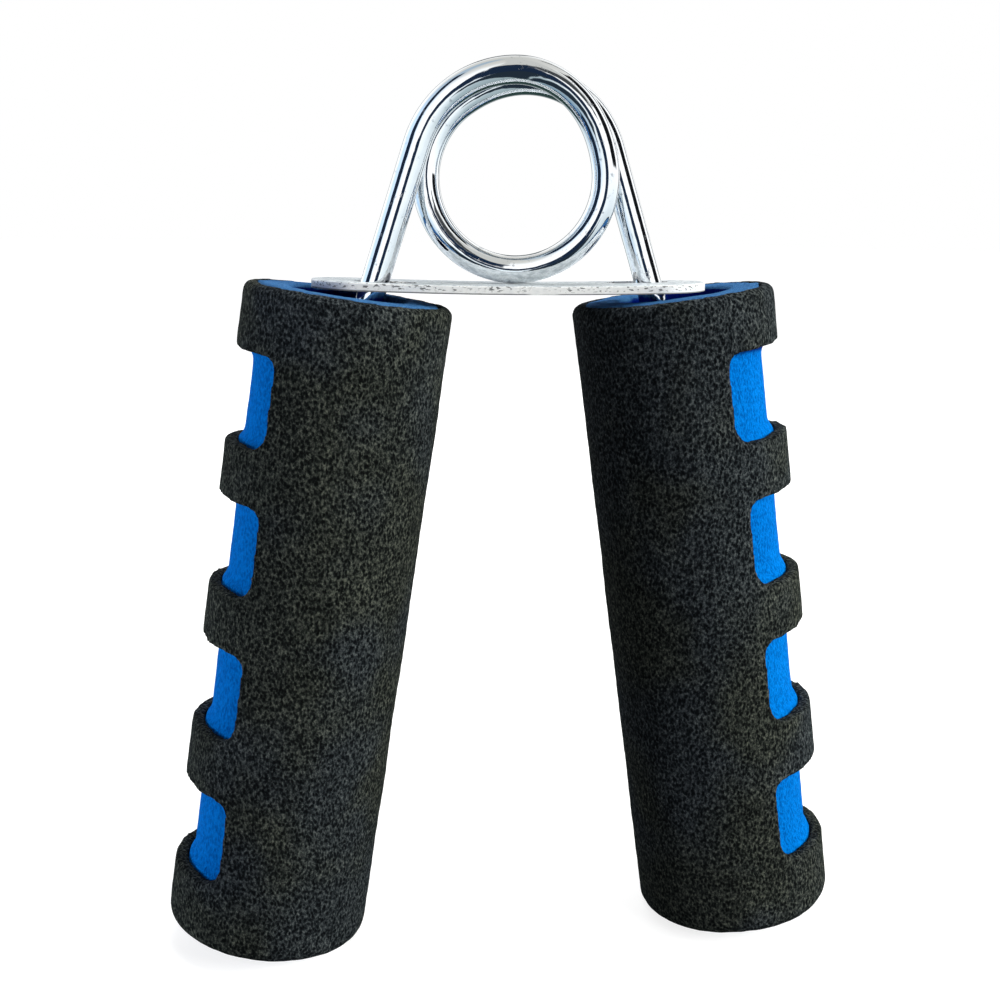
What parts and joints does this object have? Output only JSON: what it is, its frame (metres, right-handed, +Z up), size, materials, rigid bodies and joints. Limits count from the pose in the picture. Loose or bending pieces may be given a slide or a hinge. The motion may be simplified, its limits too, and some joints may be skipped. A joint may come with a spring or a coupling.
{
  "type": "hand grip strengthener",
  "caption": "Spring hand gripper: a chromed wire torsion spring with a flat stop bar, and two foam grips with finger grooves that squeeze together.",
  "frame": {"origin": "on the ground, midway between the two grips standing on their lower ends, below the coil", "axes": "+Z up to the coil, +X towards the right grip, -Y towards the front, where the left leg of the spring is"},
  "size_m": [0.0906, 0.0312, 0.1146],
  "materials": {
    "spring_wire": "bright chrome plate",
    "stop_bar": "plated steel with a sheared edge",
    "core": "moulded, dark",
    "blue_foam": "closed-cell foam, matte",
    "black_foam": "closed-cell foam, matte, grained"
  },
  "bodies": {
    "left_grip": {"left_spring_leg": "spring_wire", "left_core": "core", "left_blue_foam": "blue_foam", "left_black_foam": "black_foam"},
    "right_grip": {"right_spring_leg": "spring_wire", "right_core": "core", "right_blue_foam": "blue_foam", "right_black_foam": "black_foam"},
    "coil_and_bar": {"spring_coil": "spring_wire", "stop_bar": "stop_bar"}
  },
  "joints": [
    {"name": "squeeze", "type": "hinge", "parent": "left_grip", "child": "right_grip", "pos_m": [0, 0, 0.10003], "axis": [0, 1, 0], "range_deg": [0, 21.5], "stiffness_Nm_per_rad": 13, "springref_deg": -2.29, "deforming": ["spring_coil"]},
    {"name": "coil_follow", "type": "hinge", "parent": "left_grip", "child": "coil_and_bar", "pos_m": [0, 0, 0.10003], "axis": [0, 1, 0], "range_deg": [0, 10.75]}
  ],
  "couplings": [
    {"joint": "coil_follow", "follows": "squeeze", "ratio": 0.5}
  ]
}
